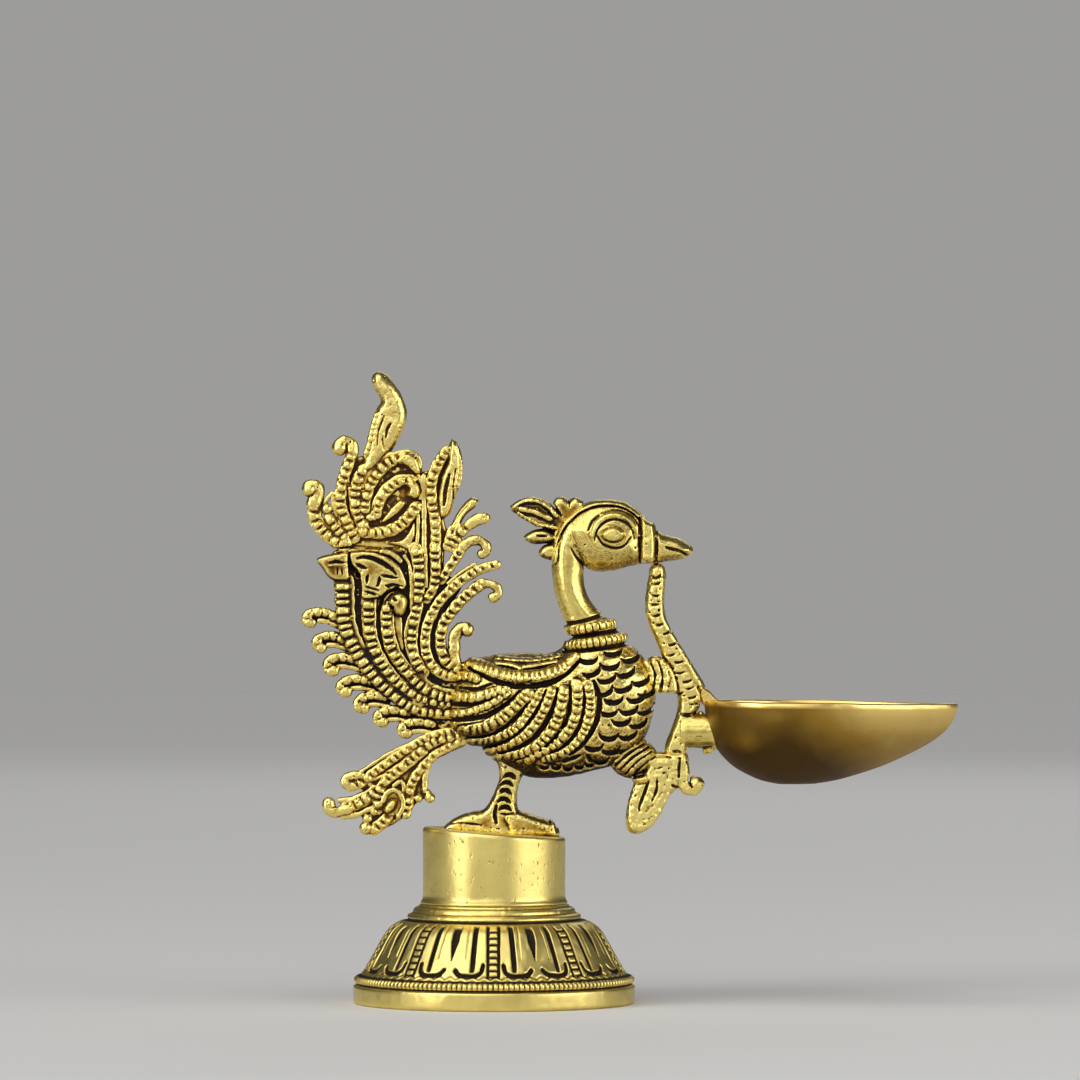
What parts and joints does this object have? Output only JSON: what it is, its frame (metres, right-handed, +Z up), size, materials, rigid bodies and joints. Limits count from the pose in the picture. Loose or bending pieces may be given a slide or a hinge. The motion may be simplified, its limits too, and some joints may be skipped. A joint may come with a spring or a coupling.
{
  "type": "bird oil lamp",
  "caption": "Cast brass oil lamp: a long-tailed bird on a round turned pedestal holds a vine that carries a spouted oil bowl.",
  "frame": {"origin": "centre of the pedestal's resting ring, on the surface it stands on", "axes": "+Z up along the pedestal's axis, +X from the bird towards the oil bowl's spout, +Y to the bird's left"},
  "size_m": [0.1228, 0.0532, 0.1183],
  "materials": {
    "bird_brass": "cast, antiqued: bright worn ridges, dark brown patina in the grooves",
    "vine_brass": "cast, paler and pitted, matt",
    "bowl_brass": "smooth spun or filed, satin, warmer tone",
    "pedestal_brass": "turned satin, dark patina in the engraving",
    "tie_steel": "plain, slightly dull"
  },
  "bodies": {
    "foot": {"pedestal_foot": "pedestal_brass", "tie_washer": "tie_steel"},
    "lamp": {"pedestal_drum": "pedestal_brass", "tie_stud": "tie_steel", "tie_nut": "tie_steel", "bird_torso": "bird_brass", "wing_near": "bird_brass", "wing_far": "bird_brass", "neck_and_head": "bird_brass", "necklace": "bird_brass", "crest": "bird_brass", "tail_fan": "bird_brass", "tail_plumes": "bird_brass", "lower_plume": "bird_brass", "standing_leg": "bird_brass", "raised_leg": "bird_brass", "vine_leaf": "vine_brass", "vine_stem": "vine_brass", "bowl_socket": "vine_brass", "oil_bowl": "bowl_brass"}
  },
  "joints": [
    {"name": "lamp_turn", "type": "hinge", "parent": "foot", "child": "lamp", "pos_m": [0, 0, 0.0187], "axis": [0, 0, 1], "continuous": true}
  ]
}
